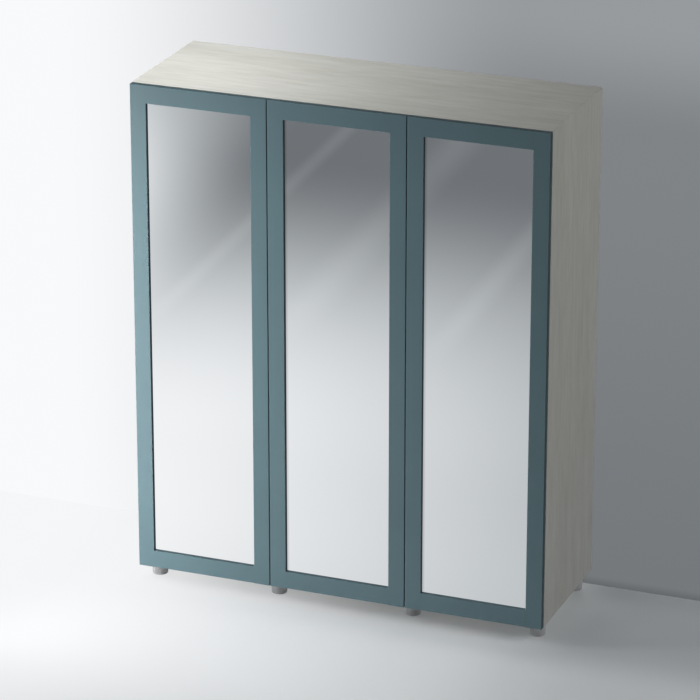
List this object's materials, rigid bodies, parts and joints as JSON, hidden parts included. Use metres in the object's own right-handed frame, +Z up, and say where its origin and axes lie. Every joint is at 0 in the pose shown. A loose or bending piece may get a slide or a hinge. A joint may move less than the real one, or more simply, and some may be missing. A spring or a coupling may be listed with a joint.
{
  "type": "mirror door wardrobe",
  "caption": "Free-standing wardrobe with framed full-height mirror doors on concealed cup hinges, hat shelves, clothes rails, shelves and round feet",
  "frame": {"origin": "on the floor under the middle of the wardrobe's box", "axes": "+X to the viewer's right, +Y from the doors to the back, +Z up"},
  "size_m": [1.8, 0.65, 2.2],
  "materials": {
    "oak_veneer": "pale grey oak, fine straight grain, matt",
    "door_paint": "smooth grey-blue satin lacquer",
    "mirror_glass": "polished",
    "backing_board": "bare fibreboard",
    "foam_tape": "matt",
    "hinge_steel": "nickel plated",
    "zinc_plate": "zinc plated",
    "foot_satin": "satin grey",
    "beech_dowel": "bare",
    "clear_buffer": "translucent"
  },
  "bodies": {
    "carcass": {"side_left": "oak_veneer", "side_right": "oak_veneer", "partition_left": "oak_veneer", "partition_right": "oak_veneer", "top_panel": "oak_veneer", "bottom_panel": "oak_veneer", "back_panels": "oak_veneer", "hat_shelves": "oak_veneer", "shelves": "oak_veneer", "shelf_pins": "hinge_steel", "clothes_rails": "hinge_steel", "rail_sockets": "zinc_plate", "dowels": "beech_dowel", "foot_plates": "zinc_plate", "feet": "foot_satin", "foot_spindles": "hinge_steel", "hinge_plates": "zinc_plate", "hinge_arms": "hinge_steel", "arm_pins": "zinc_plate", "door_buffers": "clear_buffer"},
    "outer_links_1_body": {"outer_links_1": "hinge_steel"},
    "door_1": {"door_1_hinge_stile": "door_paint", "door_1_free_stile": "door_paint", "door_1_top_rail": "door_paint", "door_1_bottom_rail": "door_paint", "door_1_mirror": "mirror_glass", "door_1_mirror_tape": "foam_tape", "door_1_backing": "backing_board", "door_1_hinge_cups": "hinge_steel", "door_1_cup_pins": "zinc_plate"},
    "inner_links_1_body": {"inner_links_1": "zinc_plate"},
    "outer_links_2_body": {"outer_links_2": "hinge_steel"},
    "door_2": {"door_2_hinge_stile": "door_paint", "door_2_free_stile": "door_paint", "door_2_top_rail": "door_paint", "door_2_bottom_rail": "door_paint", "door_2_mirror": "mirror_glass", "door_2_mirror_tape": "foam_tape", "door_2_backing": "backing_board", "door_2_hinge_cups": "hinge_steel", "door_2_cup_pins": "zinc_plate"},
    "inner_links_2_body": {"inner_links_2": "zinc_plate"},
    "outer_links_3_body": {"outer_links_3": "hinge_steel"},
    "door_3": {"door_3_hinge_stile": "door_paint", "door_3_free_stile": "door_paint", "door_3_top_rail": "door_paint", "door_3_bottom_rail": "door_paint", "door_3_mirror": "mirror_glass", "door_3_mirror_tape": "foam_tape", "door_3_backing": "backing_board", "door_3_hinge_cups": "hinge_steel", "door_3_cup_pins": "zinc_plate"},
    "inner_links_3_body": {"inner_links_3": "zinc_plate"}
  },
  "joints": [
    {"name": "outer_links_1_turn", "type": "hinge", "parent": "carcass", "child": "outer_links_1_body", "pos_m": [-0.8715, -0.281, 1.135], "axis": [0, 0, -1], "range_deg": [-27.1, 0]},
    {"name": "door_1_swing", "type": "hinge", "parent": "outer_links_1_body", "child": "door_1", "pos_m": [-0.888, -0.3107, 1.135], "axis": [0, 0, -1], "range_deg": [0, 127]},
    {"name": "inner_links_1_turn", "type": "hinge", "parent": "door_1", "child": "inner_links_1_body", "pos_m": [-0.8815, -0.3066, 1.135], "axis": [0, 0, -1], "range_deg": [-146.1, 0]},
    {"name": "outer_links_2_turn", "type": "hinge", "parent": "carcass", "child": "outer_links_2_body", "pos_m": [-0.2715, -0.281, 1.135], "axis": [0, 0, -1], "range_deg": [-27.1, 0]},
    {"name": "door_2_swing", "type": "hinge", "parent": "outer_links_2_body", "child": "door_2", "pos_m": [-0.288, -0.3107, 1.135], "axis": [0, 0, -1], "range_deg": [0, 127]},
    {"name": "inner_links_2_turn", "type": "hinge", "parent": "door_2", "child": "inner_links_2_body", "pos_m": [-0.2815, -0.3066, 1.135], "axis": [0, 0, -1], "range_deg": [-146.1, 0]},
    {"name": "outer_links_3_turn", "type": "hinge", "parent": "carcass", "child": "outer_links_3_body", "pos_m": [0.8715, -0.281, 1.135], "axis": [0, 0, 1], "range_deg": [-27.1, 0]},
    {"name": "door_3_swing", "type": "hinge", "parent": "outer_links_3_body", "child": "door_3", "pos_m": [0.888, -0.3107, 1.135], "axis": [0, 0, 1], "range_deg": [0, 127]},
    {"name": "inner_links_3_turn", "type": "hinge", "parent": "door_3", "child": "inner_links_3_body", "pos_m": [0.8815, -0.3066, 1.135], "axis": [0, 0, 1], "range_deg": [-146.1, 0]}
  ],
  "couplings": [
    {"joint": "outer_links_1_turn", "follows": "door_1_swing", "ratio": -0.2126},
    {"joint": "inner_links_1_turn", "follows": "door_1_swing", "ratio": -1.1496},
    {"joint": "outer_links_2_turn", "follows": "door_2_swing", "ratio": -0.2126},
    {"joint": "inner_links_2_turn", "follows": "door_2_swing", "ratio": -1.1496},
    {"joint": "outer_links_3_turn", "follows": "door_3_swing", "ratio": -0.2126},
    {"joint": "inner_links_3_turn", "follows": "door_3_swing", "ratio": -1.1496}
  ]
}
